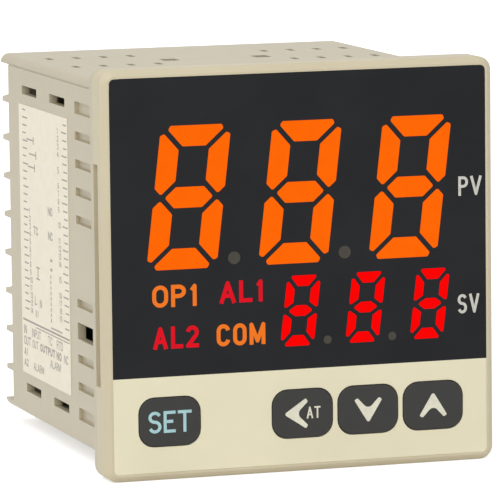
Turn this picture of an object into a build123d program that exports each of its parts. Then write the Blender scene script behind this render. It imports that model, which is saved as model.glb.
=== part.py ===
from build123d import *
from dataclasses import dataclass
from math import hypot, sqrt
import os

# Panel-mount temperature controller, in millimetres.
# X runs to the right seen from the front, Y from the front to the rear, Z up.
# The origin is the middle of the collar face that seats on the panel.

# Front frame
front_size = 72.0
front_corner = 2.4
inner_corner = 1.2
frame_depth = 5.5
frame_bevel = 1.0
frame_wall = 2.0
face_plate = 1.6
pry_length = 39.0
pry_width = 2.6
pry_depth = 0.8
rest_width = 4.0
rest_height = 1.2
rest_spread = 20.0

# Printed film on the front
film_margin = 1.5
film_corner = 2.0
film_thickness = 0.3
film_sink = 0.1
film_play = 0.1

# Rear case and its collar
collar_depth = 2.5
collar_chamfer = 0.8
panel_lip_side = 2.5
panel_lip_top = 2.75
case_corner = 1.6
case_depth = 62.5
case_wall = 1.5
edge_line_width = 0.3
edge_line_depth = 0.15

# Terminal bays at the rear of the case
bays = 9
bay_depth = 6.0
bay_length = 12.0
bay_floor = 2.0
fin_thickness = 1.6
fin_rise = 5.2
fin_taper = 0.5
fin_end_round = 1.0

# Vents through the top and the bottom of the case, with their insets from its rear edge
vent_columns = 4
vent_first = 13.0
vent_margin = 4.9
vent_width = 1.2
vent_length = 3.4
vent_rear_inset = 11.0
vent_front_inset = 29.0
wide_vent_width = 3.0
wide_vent_length = 4.0
wide_vent_offset = 8.8
wide_vent_inset = 22.0

# Slots, clamp recesses and hook windows in the sides of the case
slot_length = 10.0
slot_height = 1.6
slot_margin = 5.55
slot_rear_inset = 14.5
slot_front_inset = 33.3
recess_length = 10.0
recess_height = 1.5
end_recess_height = 2.2
recess_depth = 0.7
recess_row = 12.7
recess_first = 7.5
recess_margin = 5.75
recess_count = 5
hook_window_height = 3.0

# Snap hooks of the front frame
hook_thickness = 1.2
hook_play = 0.15
hook_bite = 1.1
hook_ramp = 2.2

# Keys
key_places = 5
key_margin = 4.5
key_gap = 1.0
key_height = 8.6
key_base = 8.85
key_corner = 2.9
key_edge = 0.3
key_rise = 0.3
key_play = 0.12
key_flange = 0.35
key_flange_thickness = 0.6
key_travel = 0.3

# Key switches
switch_size = 6.0
switch_height = 3.0
switch_corner = 0.6
plunger_radius = 1.75
plunger_inside = 1.6
plunger_play = 0.12

# Display
module_margin = 5.5
module_top_margin = 5.0
key_strip = 18.0
module_depth = 5.9
module_play = 0.1
module_clearance = 0.3
segment_depth = 1.2
digit_slant = 0.12
pv_stroke = 3.65
pv_bar = 3.65
pv_gap = 0.9
pv_side_margin = 0.7
pv_top_margin = 3.4
pv_point_radius = 1.12
pv_point_drop = 0.3
sv_stroke = 1.6
sv_bar = 1.9
sv_gap = 0.75
sv_bottom_margin = 2.875
sv_point_radius = 0.75
row_gap = 2.175
lamp_rise = 0.15

# Shares that lay out the display: of the height for digits, of a pitch, or of the module's width
pv_height_share = 0.6684
pv_width_share = 0.6275
pv_point_share = 0.461
sv_pitch_share = 0.2079
sv_width_share = 0.514
sv_point_share = 0.4643
sv_middle_share = 0.2052
lamp_width_share = 0.162
lamp_height_share = 0.385
lamp_spread_share = 0.297
lamp_column_shares = (-0.398, -0.191)

# Shares of a stroke and slopes that shape the ends of the segments
nick_stretch = 1.5
pv_nick_share = 0.2
pv_tip_share = 0.333
pv_fork_share = 0.45
pv_fork_slope = 1.0
sv_nick_share = 0.12
sv_tip_share = 0.1
sv_fork_share = 0.487
sv_fork_slope = 0.7

# Circuit boards
board_thickness = 1.6
board_play = 0.5
side_board_inset = 9.6
side_board_gap = 1.0
side_board_end_gap = 1.5
rail_depth = 1.2
rail_thickness = 1.0
rail_play = 0.15
stake_radius = 1.5
stake_pin_radius = 0.7
stake_pin_length = 2.2
stake_inset = 2.6
stake_drop = 2.1
header_size = 2.5
header_length = 25.0

# Screw terminals
plate_length = 9.0
plate_play = 0.1
plate_thickness = 0.8
tab_width = 3.0
tab_overlap = 4.0
tab_play = 0.1
screw_inset = 5.0
screw_share = 0.2685
screw_play = 0.15
screw_head_margin = 0.2
screw_head_height = 1.9
screw_reach = 4.2
screw_cross_width = 0.8
screw_cross_depth = 1.1
screw_cross_share = 0.68
washer_thickness = 0.8

# Wiring label on the left side
label_length = 32.5
label_margin = 8.25
label_rear_inset = 7.5
label_thickness = 0.12

# Parts on the two side boards: length along Y, height along Z, reach towards the middle
core_size = (20.0, 24.0, 13.0)
coil_size = (12.0, 16.0, 16.0)
coil_play = 1.0
leg_height = 5.3
output_relay_size = (18.5, 15.0, 15.0)
alarm_relay_size = (20.0, 10.0, 12.0)
capacitor_radius = 5.0
capacitor_length = 13.0
capacitor_bevel = 0.6
rectifier_size = (8.0, 6.0, 2.6)
regulator_size = (10.0, 4.5, 9.0)
chip_size = (10.0, 10.0, 1.4)
amplifier_size = (5.0, 4.0, 1.5)
crystal_size = (4.6, 11.0, 3.5)

# Places of those parts: share of the board's free length, share of its half height
core_place = (0.396, -0.38)
output_relay_place = (0.729, 0.65)
alarm_relay_places = ((0.729, 0.127), (0.729, -0.57))
capacitor_places = ((0.1875, 0.633), (0.479, 0.633))
rectifier_place = (0.1875, 0.22)
regulator_place = (0.854, -0.44)
chip_place = (0.3125, -0.44)
amplifier_place = (0.396, 0.76)
crystal_place = (0.135, 0.127)

# Levels along Y that the pieces share
parting = -collar_depth
frame_front = parting - frame_depth
film_front = frame_front + film_sink
film_back = film_front + film_thickness
plate_back = film_back + face_plate
module_front = film_back + module_play
board_front = module_front + module_depth
board_back = board_front + board_thickness
key_front = film_front - key_rise
flange_front = plate_back + key_play
flange_back = flange_front + key_flange_thickness
switch_front = board_front - switch_height
bay_base = case_depth - bay_depth
wall_inside = bay_base - bay_floor
case_rear = case_depth + fin_rise
side_board_front = board_back + side_board_gap
side_board_end = wall_inside - side_board_end_gap

# Widths and heights that the pieces share
film_size = front_size - 2 * film_margin
case_width = front_size - 2 * panel_lip_side
case_height = front_size - 2 * panel_lip_top
half_inner_width = case_width / 2 - case_wall
half_inner_height = case_height / 2 - case_wall
bay_outer = half_inner_width
bay_inner = bay_outer - bay_length
fin_pitch = (case_height - fin_thickness) / bays
fin_levels = [fin_pitch * (n - bays / 2) for n in range(bays + 1)]
bay_levels = [fin_pitch * (n - (bays - 1) / 2) for n in range(bays)]
side_board_offset = bay_outer - side_board_inset
side_board_top = half_inner_height - rail_play
screw_offset = bay_outer - screw_inset
plate_width = fin_pitch - fin_thickness - 2 * plate_play
screw_radius = plate_width * screw_share
screw_hole_radius = screw_radius + screw_play
screw_head_radius = plate_width / 2 - screw_head_margin
screw_cross_span = 2 * screw_head_radius * screw_cross_share
vent_pitch = (case_width / 2 - vent_margin - vent_first) / (vent_columns - 1)
slot_level = case_height / 2 - slot_margin
recess_pitch = (case_height / 2 - recess_margin - recess_first) / (recess_count - 1)
hook_level = -recess_first - recess_pitch
key_pitch = (film_size - 2 * key_margin + key_gap) / key_places
key_width = key_pitch - key_gap
key_level = key_base - film_size / 2
key_columns = {"set": -2 * key_pitch, "shift": 0.0, "down": key_pitch, "up": 2 * key_pitch}
sides = (-1, 1)
level_slack = 0.001

# Display module, its digits and its lamps
module_width = film_size - 2 * module_margin
module_height = film_size - module_top_margin - key_strip
module_top = film_size / 2 - module_top_margin
module_bottom = module_top - module_height
digit_room = module_height - pv_top_margin - row_gap - sv_bottom_margin
pv_height = digit_room * pv_height_share
sv_height = digit_room - pv_height
pv_level = module_top - pv_top_margin - pv_height / 2
sv_level = module_bottom + sv_bottom_margin + sv_height / 2
pv_pitch = (module_width - 2 * pv_side_margin - digit_slant * pv_height) / (2 + pv_width_share)
pv_width = pv_pitch * pv_width_share
sv_pitch = module_width * sv_pitch_share
sv_width = sv_pitch * sv_width_share
sv_middle = module_width * sv_middle_share
lamp_width = module_width * lamp_width_share
lamp_height = sv_height * lamp_height_share
lamp_columns = [module_width * share for share in lamp_column_shares]
lamp_levels = [sv_level + lamp_rise + sign * sv_height * lamp_spread_share for sign in (1, -1)]


@dataclass
class Digit:
    """Sizes of one seven-segment digit."""

    width: float
    height: float
    stroke: float
    bar: float
    gap: float
    nick_share: float
    tip_share: float
    fork_share: float
    fork_slope: float

    @property
    def mitre_across(self):
        """Half of the gap at a corner, measured along X."""
        return self.gap / 2 * hypot(self.stroke, self.bar) / self.bar

    @property
    def mitre_up(self):
        """Half of the gap at a corner, measured along Z."""
        return self.gap / 2 * hypot(self.stroke, self.bar) / self.stroke

    @property
    def fork_gap(self):
        """Whole gap beside the middle bar, measured along Z."""
        return self.gap * hypot(1, self.fork_slope)


def block(x_span, y_span, z_span):
    """Box between two limits on each axis, given in either order."""
    spans = (x_span, y_span, z_span)
    centre = [(low + high) / 2 for low, high in spans]
    return Pos(*centre) * Box(*[abs(high - low) for low, high in spans])


def slab(width, height, corner, front, back, x=0.0, z=0.0):
    """Rounded rectangle seen from the front, between two levels of Y."""
    outline = Pos(x, back, z) * (Plane.XZ * RectangleRounded(width, height, corner))
    return extrude(outline, back - front)


def disc(radius, front, back, x=0.0, z=0.0):
    """Round bar along Y."""
    return extrude(Pos(x, back, z) * (Plane.XZ * Circle(radius)), back - front)


def around(centre, size):
    """Limits of a stretch of the given size around its centre."""
    return (centre - size / 2, centre + size / 2)


def edges_at(shape, level):
    """Edges of a shape that lie in one plane across Y."""
    return shape.edges().filter_by_position(Axis.Y, level - level_slack, level + level_slack)


def case_vents():
    """Cutters for the slots through the top and the bottom of the case."""
    through = (-case_height, case_height)
    cutters = []
    for side in sides:
        for column in range(vent_columns):
            x = side * (vent_first + column * vent_pitch)
            for inset in (vent_front_inset, vent_rear_inset):
                row = around(case_depth - inset, vent_length)
                cutters.append(block(around(x, vent_width), row, through))
        x = side * wide_vent_offset
        row = around(case_depth - wide_vent_inset, wide_vent_length)
        cutters.append(block(around(x, wide_vent_width), row, through))
    return cutters


def side_cutters(side):
    """Cutters for one side of the case: long slots, blind clamp recesses and the hook window."""
    outer = side * case_width / 2
    through = (outer - side * 2 * case_wall, outer + side * case_wall)
    blind = (outer - side * recess_depth, outer + side * case_wall)
    cutters = []
    for z in (-slot_level, slot_level):
        for inset in (slot_front_inset, slot_rear_inset):
            row = around(case_depth - inset, slot_length)
            cutters.append(block(through, row, around(z, slot_height)))
    for step in range(recess_count):
        height = end_recess_height if step == recess_count - 1 else recess_height
        for z in (recess_first + step * recess_pitch, -recess_first - step * recess_pitch):
            if abs(z - hook_level) > hook_window_height / 2:
                cutters.append(block(blind, around(recess_row, recess_length), around(z, height)))
    window = around(hook_level, hook_window_height)
    cutters.append(block(through, around(recess_row, recess_length), window))
    return cutters


def board_rails(side):
    """Rails on the top and the bottom inside the case, either side of one side board."""
    inner_face = side * (side_board_offset - rail_play)
    outer_face = side * (side_board_offset + board_thickness + rail_play)
    run = (side_board_front, side_board_end)
    rails = []
    for z_wall in (-half_inner_height, half_inner_height):
        z_tip = z_wall - rail_depth if z_wall > 0 else z_wall + rail_depth
        z_root = z_wall + case_wall / 2 if z_wall > 0 else z_wall - case_wall / 2
        rails.append(block((inner_face, inner_face - side * rail_thickness), run, (z_tip, z_root)))
        rails.append(block((outer_face, outer_face + side * rail_thickness), run, (z_tip, z_root)))
    return rails


def barrier_fin(side, z):
    """One barrier between two terminals: flat below, sloping down above to a rounded tip."""
    outer = side * case_width / 2
    inner = side * bay_inner
    root = bay_base - bay_floor / 2
    half = fin_thickness / 2
    half_tip = half * fin_taper
    tip_end = (case_rear, half_tip - half)
    tip_below = (case_rear - half_tip, -half)
    tip_above = (case_rear - half_tip, 2 * half_tip - half)
    # The section across the barrier.
    section = Polyline(tip_below, (root, -half), (root, half), (case_depth, half), tip_above)
    section += ThreePointArc(tip_above, tip_end, tip_below)
    section = extrude(Pos(0, 0, z) * make_face(Plane.YZ * section), case_width / 2, both=True)
    # Seen from above, its outer corner is rounded.
    bend = fin_end_round * (1 - 1 / sqrt(2))
    round_start = (outer, case_rear - fin_end_round)
    round_end = (outer - side * fin_end_round, case_rear)
    outline = Polyline(round_start, (outer, root), (inner, root), (inner, case_rear), round_end)
    outline += ThreePointArc(round_end, (outer - side * bend, case_rear - bend), round_start)
    return extrude(Pos(0, 0, z) * make_face(outline), fin_thickness, both=True) & section


def edge_line(side):
    """Cutter for the fine line along one side of the case, where the rounding of its top ends."""
    outer = side * case_width / 2
    across = (outer - side * edge_line_depth, outer + side * case_wall)
    return block(across, (0.0, case_depth), around(case_height / 2 - case_corner, edge_line_width))


def rear_case():
    """One moulding: collar, walls, vents, slots, rails and the terminal bays with their barriers."""
    body = slab(case_width, case_height, case_corner, parting, case_rear)
    collar = slab(front_size, front_size, front_corner, parting, 0.0)
    collar = chamfer(edges_at(collar, 0.0), collar_chamfer)
    # The wall between the two columns of bays stands level with the tips of the barriers.
    inner_height = (-half_inner_height, half_inner_height)
    hollow = block((-half_inner_width, half_inner_width), (parting, wall_inside), inner_height)
    middle_half = bay_inner - case_wall
    middle = block((-middle_half, middle_half), (wall_inside, case_rear - case_wall), inner_height)
    case = body + collar - hollow - middle
    bay_heights = (-case_height / 2 + fin_thickness, case_height / 2 - fin_thickness)
    for side in sides:
        case -= block((side * bay_inner, side * bay_outer), (bay_base, case_rear), bay_heights)
        case -= block((side * bay_inner, side * case_width), (case_depth, case_rear), bay_heights)
        case += [barrier_fin(side, z) for z in fin_levels[1:-1]]
        case += board_rails(side)
    case -= case_vents()
    for side in sides:
        case -= side_cutters(side)
        case -= terminal_holes(side)
        case -= edge_line(side)
    return case


def terminal_holes(side):
    """Holes through the floors of one column of bays, for the screws and the tabs of the plates."""
    tab_outer = side_board_offset + tab_play
    tab_inner = side_board_offset - plate_thickness - tab_play
    cutters = []
    for z in bay_levels:
        cutters.append(disc(screw_hole_radius, wall_inside, bay_base, side * screw_offset, z))
        cutters.append(
            block(
                (side * tab_inner, side * tab_outer),
                (wall_inside, bay_base),
                around(z, tab_width + 2 * tab_play),
            )
        )
    return cutters


def snap_hook(side):
    """Springy arm of the front frame with a barb that catches in the hook window of the case."""
    outer = side * (half_inner_width - hook_play)
    inner = outer - side * hook_thickness
    window_front = recess_row - recess_length / 2
    catch = window_front + hook_play
    end = catch + hook_ramp
    height = around(hook_level, hook_window_height - 2 * hook_play)
    arm = block((inner, outer), (plate_back - face_plate / 2, end), height)
    barb = Polyline((outer, catch), (outer + side * hook_bite, catch), (outer, end), close=True)
    barb = extrude(Pos(0, 0, height[0]) * make_face(barb), height[1] - height[0], dir=(0, 0, 1))
    return arm + barb


def front_bezel():
    """One moulding: frame with bevelled front edges, film seat, key holes, board rests and hooks."""
    frame = slab(front_size, front_size, front_corner, frame_front, parting)
    frame = chamfer(edges_at(frame, frame_front), frame_bevel)
    seat_size = film_size + 2 * film_play
    frame -= slab(seat_size, seat_size, film_corner, frame_front, film_back)
    inside = front_size - 2 * frame_wall
    frame -= slab(inside, inside, inner_corner, plate_back, parting)
    frame -= block(
        around(0, module_width + 2 * module_clearance),
        (film_back, plate_back),
        (module_bottom - module_clearance, module_top + module_clearance),
    )
    frame -= key_holes(film_back, plate_back)
    for side in sides:
        outer = side * front_size / 2
        pry_slot = (parting - pry_width, parting)
        frame -= block((outer, outer - side * pry_depth), pry_slot, around(0, pry_length))
    return frame + board_rests() + [snap_hook(side) for side in sides]


def key_holes(front, back):
    """Cutters for the holes that the keys move in."""
    width = key_width + 2 * key_play
    height = key_height + 2 * key_play
    return [slab(width, height, key_corner, front, back, x, key_level) for x in key_columns.values()]


def board_rests():
    """Ribs at the top and staked posts lower down, which hold the display board."""
    root = (display_board_top() - rest_height, front_size / 2 - frame_wall / 2)
    tongue = (display_board_top() - rest_height, half_inner_height - hook_play)
    rests = []
    for side in sides:
        width = around(side * rest_spread, rest_width)
        rib = block(width, (plate_back, parting), root)
        rests.append(rib + block(width, (parting, board_front), tongue))
    for x, z in stake_places():
        post = disc(stake_radius, plate_back, board_front, x, z)
        pin = disc(stake_pin_radius, plate_back, board_front + stake_pin_length, x, z)
        rests.append(post + pin)
    return rests


def stake_places():
    """Posts below the display's ends and in the blank place of the key row."""
    stake_side = half_inner_width - stake_inset
    stake_level = module_bottom - stake_drop
    return [(-stake_side, stake_level), (stake_side, stake_level), (-key_pitch, key_level)]


def front_overlay():
    """Printed plastic film over the whole front, with a hole for each key."""
    film = slab(film_size, film_size, film_corner, film_front, film_back)
    return film - key_holes(film_front, film_back)


def key_cap(x):
    """Key with a soft edge in front and a flange that holds it behind the frame's face."""
    cap = slab(key_width, key_height, key_corner, key_front, flange_front, x, key_level)
    cap = fillet(edges_at(cap, key_front), key_edge)
    width = key_width + 2 * key_flange
    height = key_height + 2 * key_flange
    return cap + slab(width, height, key_corner, flange_front, flange_back, x, key_level)


def key_plunger(x):
    """Plunger of one key switch, pushed by the back of its key."""
    return disc(plunger_radius, flange_back, switch_front + plunger_inside, x, key_level)


def switch_body(x):
    """Body of one key switch with the bore that guides its plunger."""
    body = slab(switch_size, switch_size, switch_corner, switch_front, board_front, x, key_level)
    bore_end = switch_front + plunger_inside + key_travel + plunger_play
    return body - disc(plunger_radius + plunger_play, switch_front, bore_end, x, key_level)


def display_board_top():
    """Level of the display board's upper edge."""
    return half_inner_height - board_play


def display_board():
    """Front circuit board, notched for the hooks and drilled for the staked pins."""
    half_width = half_inner_width - board_play
    top = display_board_top()
    run = (board_front, board_back)
    board = block((-half_width, half_width), run, (-top, top))
    for side in sides:
        notch = side * (half_inner_width - 2 * hook_play - hook_thickness)
        height = around(hook_level, hook_window_height + 2 * hook_play)
        board -= block((notch, side * case_width / 2), run, height)
    for x, z in stake_places():
        board -= disc(stake_pin_radius + hook_play / 2, board_front, board_back, x, z)
    return board


def bar_outline(digit):
    """Corners of the top bar of an upright digit, around the digit's middle."""
    half_w = digit.width / 2
    half_h = digit.height / 2
    start = digit.mitre_across - half_w
    nick_across = digit.stroke * digit.nick_share
    nick_up = digit.bar * digit.nick_share
    left = [
        (start + digit.stroke, half_h - digit.bar),
        (start + nick_across, half_h - nick_up),
        (start + nick_stretch * nick_across, half_h),
    ]
    return left + [(-u, v) for u, v in reversed(left)]


def upright_outline(digit):
    """Corners of the upper left stroke of an upright digit, around the digit's middle."""
    half_w = digit.width / 2
    top = digit.height / 2 - digit.mitre_up
    nick_across = digit.stroke * digit.nick_share
    nick_up = digit.bar * digit.nick_share
    tip = digit.stroke * digit.tip_share
    fork = digit.fork_slope * digit.stroke * digit.fork_share + digit.fork_gap
    low = fork - digit.fork_slope * (digit.stroke - tip)
    return [
        (-half_w, top - nick_stretch * nick_up),
        (-half_w + nick_across, top - nick_up),
        (-half_w + digit.stroke, top - digit.bar),
        (-half_w + digit.stroke, fork),
        (-half_w + tip, low),
        (-half_w, low + tip),
    ]


def middle_outline(digit):
    """Corners of the middle bar, pointed at both ends."""
    tip = digit.width / 2 - digit.stroke * (1 - digit.fork_share)
    half = digit.bar / 2
    run = half / digit.fork_slope
    left = [(run - tip, -half), (-tip, 0.0), (run - tip, half)]
    return left + [(-u, v) for u, v in reversed(left)]


def segment_outlines(digit):
    """Seven mitred segments of one upright digit, as lists of corners around its middle."""
    top = bar_outline(digit)
    upright = upright_outline(digit)
    mirrored = [[(su * u, sv * v) for u, v in upright] for su in sides for sv in sides]
    return [top, [(u, -v) for u, v in top], middle_outline(digit)] + mirrored


def digit_row(digit, centres, level):
    """Slanted segments of a row of digits, set into the face of the display."""
    segments = []
    for centre in centres:
        for outline in segment_outlines(digit):
            corners = [(centre + u + digit_slant * v, level + v) for u, v in outline]
            face = make_face(Plane.XZ * Polyline(*corners, close=True))
            segments.append(extrude(Pos(0, module_front, 0) * face, segment_depth, dir=(0, 1, 0)))
    return segments


def pv_centres():
    """Middles of the three large digits."""
    return [-pv_pitch, 0.0, pv_pitch]


def sv_centres():
    """Middles of the three small digits."""
    return [sv_middle - sv_pitch, sv_middle, sv_middle + sv_pitch]


def points():
    """Two decimal points in each row of digits, along the slanted line between two digits."""
    run = (module_front, module_front + segment_depth)
    pv_drop = (pv_height - pv_stroke) / 2
    sv_drop = (sv_height - sv_stroke) / 2
    dots = []
    for centre in pv_centres()[:2]:
        x = centre + pv_pitch * pv_point_share - digit_slant * pv_drop
        dots.append(disc(pv_point_radius, *run, x, pv_level - pv_drop - pv_point_drop))
    for centre in sv_centres()[:2]:
        x = centre + sv_pitch * sv_point_share - digit_slant * sv_drop
        dots.append(disc(sv_point_radius, *run, x, sv_level - sv_drop))
    return dots


def lamp(column, level):
    """Light bar behind one indicator word."""
    return block(
        around(lamp_columns[column], lamp_width),
        (module_front, module_front + segment_depth),
        around(lamp_levels[level], lamp_height),
    )


def display_housing(windows):
    """Black body of the display, with a pocket for each segment, point and lamp."""
    body = block(around(0, module_width), (module_front, board_front), (module_bottom, module_top))
    return body - windows


def side_board(side):
    """Upright board in the rails of the case, from the display board to the terminals."""
    face = side * side_board_offset
    run = (side_board_front, side_board_end)
    return block((face, face + side * board_thickness), run, (-side_board_top, side_board_top))


def board_header(side):
    """Pin header that joins a side board to the display board."""
    face = side * side_board_offset
    run = (board_back, side_board_front + header_size)
    return block((face, face - side * header_size), run, around(0, header_length))


def board_spot(place):
    """Middle of a part on a side board, along Y and Z, from its two shares."""
    free_length = side_board_end - tab_overlap - side_board_front
    return side_board_front + place[0] * free_length, place[1] * side_board_top


def on_board(side, place, size, lift=0.0):
    """Boxy part on the inner face of a side board, or lifted off it."""
    y, z = board_spot(place)
    face = side * (side_board_offset - lift)
    return block((face, face - side * size[2]), around(y, size[0]), around(z, size[1]))


def transformer_leg():
    """Middle leg of the core, in the middle of the coil's thickness."""
    lift = (coil_size[2] - core_size[2]) / 2
    return on_board(-1, core_place, (core_size[0], leg_height, core_size[2]), lift)


def transformer_core():
    """Laminated core with a window above and below its middle leg."""
    lift = (coil_size[2] - core_size[2]) / 2
    core = on_board(-1, core_place, core_size, lift)
    window = (coil_size[0] + 2 * coil_play, coil_size[1] + 2 * coil_play, coil_size[2])
    return core - on_board(-1, core_place, window) + transformer_leg()


def transformer_coil():
    """Coil that stands on the board and wraps the middle leg of the core."""
    return on_board(-1, core_place, coil_size) - transformer_leg()


def capacitor(place):
    """Round capacitor that stands on the power board."""
    base = Pos(-side_board_offset, *board_spot(place)) * (Plane.YZ * Circle(capacitor_radius))
    body = extrude(base, capacitor_length)
    return chamfer(body.faces().sort_by(Axis.X)[-1].edges(), capacitor_bevel)


def terminal_plate(side, z):
    """Bent plate: one leg under the screw, one tab through the wall to the side board."""
    inner = side * (side_board_offset - plate_thickness)
    back = bay_base + plate_thickness
    leg = block((inner, inner + side * plate_length), (bay_base, back), around(z, plate_width))
    tab_run = (side_board_end - tab_overlap, back)
    tab = block((inner, side * side_board_offset), tab_run, around(z, tab_width))
    return leg + tab - disc(screw_radius, bay_base, back, side * screw_offset, z)


def clamp_washer(side, z):
    """Square washer that presses the wire on the plate."""
    front = bay_base + plate_thickness
    back = front + washer_thickness
    x = side * screw_offset
    washer = block(around(x, plate_width), (front, back), around(z, plate_width))
    return washer - disc(screw_hole_radius, front, back, x, z)


def terminal_screw(side, z):
    """Terminal screw with a cross recess in its head."""
    seat = bay_base + plate_thickness + washer_thickness
    top = seat + screw_head_height
    x = side * screw_offset
    head = disc(screw_head_radius, seat, top, x, z)
    shank = disc(screw_radius, seat - washer_thickness - screw_reach, seat, x, z)
    recess = (top - screw_cross_depth, top)
    slot = block(around(x, screw_cross_span), recess, around(z, screw_cross_width))
    cross = block(around(x, screw_cross_width), recess, around(z, screw_cross_span))
    return head + shank - slot - cross


def wiring_label():
    """Paper label on the left side of the case."""
    face = -case_width / 2
    rear = case_depth - label_rear_inset
    height = case_height - 2 * label_margin
    return block((face, face - label_thickness), (rear - label_length, rear), around(0, height))


def terminals(make):
    """One copy of a terminal's piece in each bay."""
    return [make(side, z) for side in sides for z in bay_levels]


def save(name, shape):
    """Writes one node, a single piece or a group of separate pieces."""
    solids = shape if isinstance(shape, list) else [shape]
    solids = [solid for piece in solids for solid in piece.solids()]
    export_step(solids[0] if len(solids) == 1 else Compound(children=solids), f"parts/{name}.step")


os.makedirs("parts", exist_ok=True)

pv_digit = Digit(
    width=pv_width,
    height=pv_height,
    stroke=pv_stroke,
    bar=pv_bar,
    gap=pv_gap,
    nick_share=pv_nick_share,
    tip_share=pv_tip_share,
    fork_share=pv_fork_share,
    fork_slope=pv_fork_slope,
)
sv_digit = Digit(
    width=sv_width,
    height=sv_height,
    stroke=sv_stroke,
    bar=sv_bar,
    gap=sv_gap,
    nick_share=sv_nick_share,
    tip_share=sv_tip_share,
    fork_share=sv_fork_share,
    fork_slope=sv_fork_slope,
)
pv_segments = digit_row(pv_digit, pv_centres(), pv_level)
sv_segments = digit_row(sv_digit, sv_centres(), sv_level)
decimal_points = points()
output_lamps = [lamp(0, 0), lamp(1, 1)]
alarm_lamps = [lamp(1, 0), lamp(0, 1)]
windows = pv_segments + sv_segments + decimal_points + output_lamps + alarm_lamps

save("rear_case", rear_case())
save("front_bezel", front_bezel())
save("front_overlay", front_overlay())
save("wiring_label", wiring_label())
for name, x in key_columns.items():
    save(f"{name}_key", key_cap(x))
    save(f"{name}_plunger", key_plunger(x))
save("switch_bodies", [switch_body(x) for x in key_columns.values()])
save("pv_segments", pv_segments)
save("sv_segments", sv_segments)
save("decimal_points", decimal_points)
save("output_lamps", output_lamps)
save("alarm_lamps", alarm_lamps)
save("display_housing", display_housing(windows))
save("display_board", display_board())
save("power_board", side_board(-1))
save("control_board", side_board(1))
save("board_headers", [board_header(side) for side in sides])
save("transformer_core", transformer_core())
save("transformer_coil", transformer_coil())
save("filter_capacitors", [capacitor(place) for place in capacitor_places])
save("bridge_rectifier", on_board(-1, rectifier_place, rectifier_size))
save("voltage_regulator", on_board(-1, regulator_place, regulator_size))
save("output_relay", on_board(1, output_relay_place, output_relay_size))
save("alarm_relays", [on_board(1, place, alarm_relay_size) for place in alarm_relay_places])
save("microcontroller", on_board(1, chip_place, chip_size))
save("input_amplifier", on_board(1, amplifier_place, amplifier_size))
save("crystal", on_board(1, crystal_place, crystal_size))
save("terminal_plates", terminals(terminal_plate))
save("clamp_washers", terminals(clamp_washer))
save("terminal_screws", terminals(terminal_screw))
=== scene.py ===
import bmesh
import bpy
from math import atan2, cos, radians, sin
from mathutils import Matrix, Vector


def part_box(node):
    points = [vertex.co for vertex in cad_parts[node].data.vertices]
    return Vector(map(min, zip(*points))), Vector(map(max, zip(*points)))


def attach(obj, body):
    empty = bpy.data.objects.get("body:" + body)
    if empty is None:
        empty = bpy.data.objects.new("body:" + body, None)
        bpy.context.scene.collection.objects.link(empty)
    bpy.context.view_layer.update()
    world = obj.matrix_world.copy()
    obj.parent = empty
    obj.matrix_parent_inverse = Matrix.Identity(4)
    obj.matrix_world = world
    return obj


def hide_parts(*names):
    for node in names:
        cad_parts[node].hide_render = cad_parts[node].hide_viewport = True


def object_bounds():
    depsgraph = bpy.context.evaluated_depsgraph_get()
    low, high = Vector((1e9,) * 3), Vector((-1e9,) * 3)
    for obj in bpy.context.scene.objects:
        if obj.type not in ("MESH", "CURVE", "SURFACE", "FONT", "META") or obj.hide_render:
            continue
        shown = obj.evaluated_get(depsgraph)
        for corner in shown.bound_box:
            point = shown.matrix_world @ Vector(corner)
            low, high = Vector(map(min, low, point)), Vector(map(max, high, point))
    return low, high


# Looks of the panel-mount temperature controller.
# Lengths are in millimetres, which MM turns into metres, but for those of the lamps and the floor.
MM = 0.001

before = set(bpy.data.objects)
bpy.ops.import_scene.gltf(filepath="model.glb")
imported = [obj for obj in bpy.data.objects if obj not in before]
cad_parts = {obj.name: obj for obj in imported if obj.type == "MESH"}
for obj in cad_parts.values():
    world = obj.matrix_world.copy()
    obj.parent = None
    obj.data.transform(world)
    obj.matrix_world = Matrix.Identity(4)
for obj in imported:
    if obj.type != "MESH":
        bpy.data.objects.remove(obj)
cad_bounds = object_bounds()

KEYS = ("set", "shift", "down", "up")

# Camera, fitted to the photograph's outer edges. Angles in degrees, the end of its view in metres.
CAMERA_PLACE = (-268.66, -811.81, 109.55)
CAMERA_YAW = 17.88
CAMERA_PITCH = 7.14
CAMERA_ROLL = -0.65
CAMERA_LENS = 351.1
SENSOR_WIDTH = 36.0
VIEW_END = 20.0

# Light: the surroundings' strength, then the lamps' power in watts, their places and their size in metres
WORLD_LIGHT = 0.6
KEY_LIGHT = 7.5
KEY_LIGHT_PLACE = (-0.9, -0.9, 1.2)
FRONT_LIGHT = 6.0
FRONT_LIGHT_PLACE = (-0.35, -1.45, 0.15)
TOP_LIGHT = 4.5
TOP_LIGHT_PLACE = (-0.2, 0.1, 1.6)
LAMP_SIZE = 1.0

# Floor: half its width in metres, its grey and roughness, its glow where it is seen, and the gap under the object
FLOOR_HALF = 4.0
FLOOR_GREY = 0.9
FLOOR_ROUGHNESS = 0.9
FLOOR_GLOW = 0.55
FLOOR_GAP = 0.05

# Colours, from 0 to 255
CASE_COLOUR = (190, 180, 154)
FRAME_COLOUR = (203, 192, 163)
KEY_COLOUR = (52, 52, 51)
CREAM_FILM_COLOUR = (228, 221, 191)
WINDOW_DARK = (21, 22, 25)
WINDOW_LIGHT = (27, 28, 31)
PV_COLOUR = (255, 103, 2)
SV_COLOUR = (250, 0, 0)
POINT_COLOUR = (52, 48, 38)
ORANGE_WORD_COLOUR = (250, 126, 40)
RED_WORD_COLOUR = (232, 22, 38)
PALE_INK_COLOUR = (198, 197, 188)
CREAM_INK_COLOUR = (222, 220, 200)
BLUE_INK_COLOUR = (166, 204, 209)
LABEL_INK_COLOUR = (160, 152, 142)
PAPER_DARK = (243, 234, 215)
PAPER_LIGHT = (249, 241, 223)

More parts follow.
